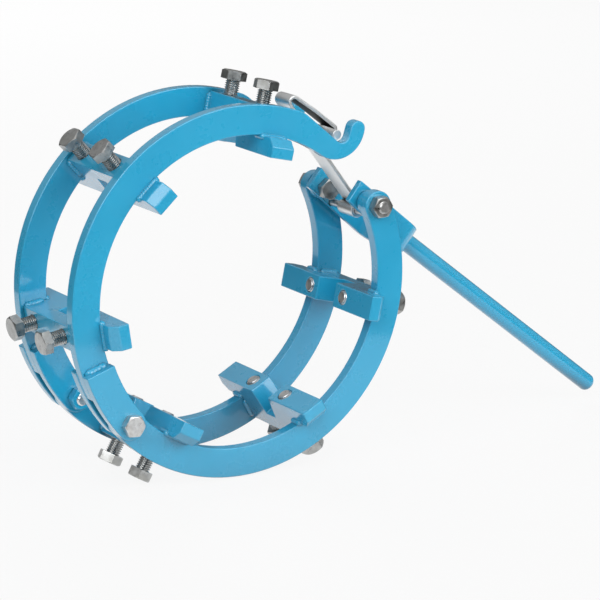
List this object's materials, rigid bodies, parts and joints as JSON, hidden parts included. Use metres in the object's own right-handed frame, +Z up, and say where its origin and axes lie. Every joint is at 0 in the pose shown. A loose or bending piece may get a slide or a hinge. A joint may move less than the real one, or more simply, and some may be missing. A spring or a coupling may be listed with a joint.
{
  "type": "cage clamp",
  "caption": "Hinged two-ring cage clamp with crossbars, jack bolts and a lever latch that lines up two pipe ends for welding.",
  "frame": {"origin": "on the pipe axis, midway between the two rings", "axes": "+Y along the pipe axis towards the rear ring, +X towards the lever side, +Z up"},
  "size_m": [0.5487, 0.138, 0.3156],
  "materials": {
    "blue_paint": "gloss sky-blue enamel over welded steel",
    "zinc_plate": "zinc-plated steel fasteners",
    "bright_steel": "bright spring steel, polished"
  },
  "bodies": {
    "left_half": {"left_front_ring": "blue_paint", "left_rear_ring": "blue_paint", "front_outer_cheek": "blue_paint", "front_inner_cheek": "blue_paint", "rear_inner_cheek": "blue_paint", "rear_outer_cheek": "blue_paint", "top_crossbar": "blue_paint", "upper_left_crossbar": "blue_paint", "left_crossbar": "blue_paint", "front_hinge_bolt": "zinc_plate", "rear_hinge_bolt": "zinc_plate", "front_hinge_nut": "zinc_plate", "rear_hinge_nut": "zinc_plate"},
    "right_half": {"right_front_ring": "blue_paint", "right_rear_ring": "blue_paint", "bottom_crossbar": "blue_paint", "lower_right_crossbar": "blue_paint", "right_crossbar": "blue_paint", "front_pivot_bolt": "zinc_plate", "rear_pivot_bolt": "zinc_plate", "front_pivot_nut": "zinc_plate", "rear_pivot_nut": "zinc_plate", "front_pivot_spacer": "blue_paint", "rear_pivot_spacer": "blue_paint"},
    "lever": {"lever_yoke": "blue_paint", "lever_handle": "blue_paint", "link_pin": "zinc_plate"},
    "latch": {"latch_strap": "bright_steel", "latch_bar": "bright_steel"},
    "top_front_screw": {"top_front_jack": "zinc_plate"},
    "top_rear_screw": {"top_rear_jack": "zinc_plate"},
    "upper_left_front_screw": {"upper_left_front_jack": "zinc_plate"},
    "upper_left_rear_screw": {"upper_left_rear_jack": "zinc_plate"},
    "left_front_screw": {"left_front_jack": "zinc_plate"},
    "left_rear_screw": {"left_rear_jack": "zinc_plate"},
    "bottom_front_screw": {"bottom_front_jack": "zinc_plate"},
    "bottom_rear_screw": {"bottom_rear_jack": "zinc_plate"},
    "lower_right_front_screw": {"lower_right_front_jack": "zinc_plate"},
    "lower_right_rear_screw": {"lower_right_rear_jack": "zinc_plate"},
    "right_front_screw": {"right_front_jack": "zinc_plate"},
    "right_rear_screw": {"right_rear_jack": "zinc_plate"}
  },
  "joints": [
    {"name": "swing", "type": "hinge", "parent": "left_half", "child": "right_half", "pos_m": [-0.10415, 0, -0.09054], "axis": [0, 1, 0], "range_deg": [0, 90]},
    {"name": "lever_lift", "type": "hinge", "parent": "right_half", "child": "lever", "pos_m": [0.12567, 0, 0.05701], "axis": [0, -1, 0], "range_deg": [0, 105]},
    {"name": "latch_turn", "type": "hinge", "parent": "lever", "child": "latch", "pos_m": [0.13117, 0, 0.04523], "axis": [0, -1, 0], "range_deg": [-102, 0]},
    {"name": "top_front_feed", "type": "slide", "parent": "left_half", "child": "top_front_screw", "axis": [0.2198, 0, 0.9755], "range_m": [-0.012, 0.015]},
    {"name": "top_rear_feed", "type": "slide", "parent": "left_half", "child": "top_rear_screw", "axis": [0.2198, 0, 0.9755], "range_m": [-0.012, 0.015]},
    {"name": "upper_left_front_feed", "type": "slide", "parent": "left_half", "child": "upper_left_front_screw", "axis": [-0.6769, 0, 0.7361], "range_m": [-0.012, 0.015]},
    {"name": "upper_left_rear_feed", "type": "slide", "parent": "left_half", "child": "upper_left_rear_screw", "axis": [-0.6769, 0, 0.7361], "range_m": [-0.012, 0.015]},
    {"name": "left_front_feed", "type": "slide", "parent": "left_half", "child": "left_front_screw", "axis": [-0.9885, 0, -0.1513], "range_m": [-0.012, 0.015]},
    {"name": "left_rear_feed", "type": "slide", "parent": "left_half", "child": "left_rear_screw", "axis": [-0.9885, 0, -0.1513], "range_m": [-0.012, 0.015]},
    {"name": "bottom_front_feed", "type": "slide", "parent": "right_half", "child": "bottom_front_screw", "axis": [-0.4818, 0, -0.8763], "range_m": [-0.012, 0.015]},
    {"name": "bottom_rear_feed", "type": "slide", "parent": "right_half", "child": "bottom_rear_screw", "axis": [-0.4818, 0, -0.8763], "range_m": [-0.012, 0.015]},
    {"name": "lower_right_front_feed", "type": "slide", "parent": "right_half", "child": "lower_right_front_screw", "axis": [0.4909, 0, -0.8712], "range_m": [-0.012, 0.015]},
    {"name": "lower_right_rear_feed", "type": "slide", "parent": "right_half", "child": "lower_right_rear_screw", "axis": [0.4909, 0, -0.8712], "range_m": [-0.012, 0.015]},
    {"name": "right_front_feed", "type": "slide", "parent": "right_half", "child": "right_front_screw", "axis": [0.9799, 0, -0.1994], "range_m": [-0.012, 0.015]},
    {"name": "right_rear_feed", "type": "slide", "parent": "right_half", "child": "right_rear_screw", "axis": [0.9799, 0, -0.1994], "range_m": [-0.012, 0.015]}
  ],
  "couplings": [
    {"joint": "latch_turn", "follows": "lever_lift", "ratio": -0.96}
  ]
}
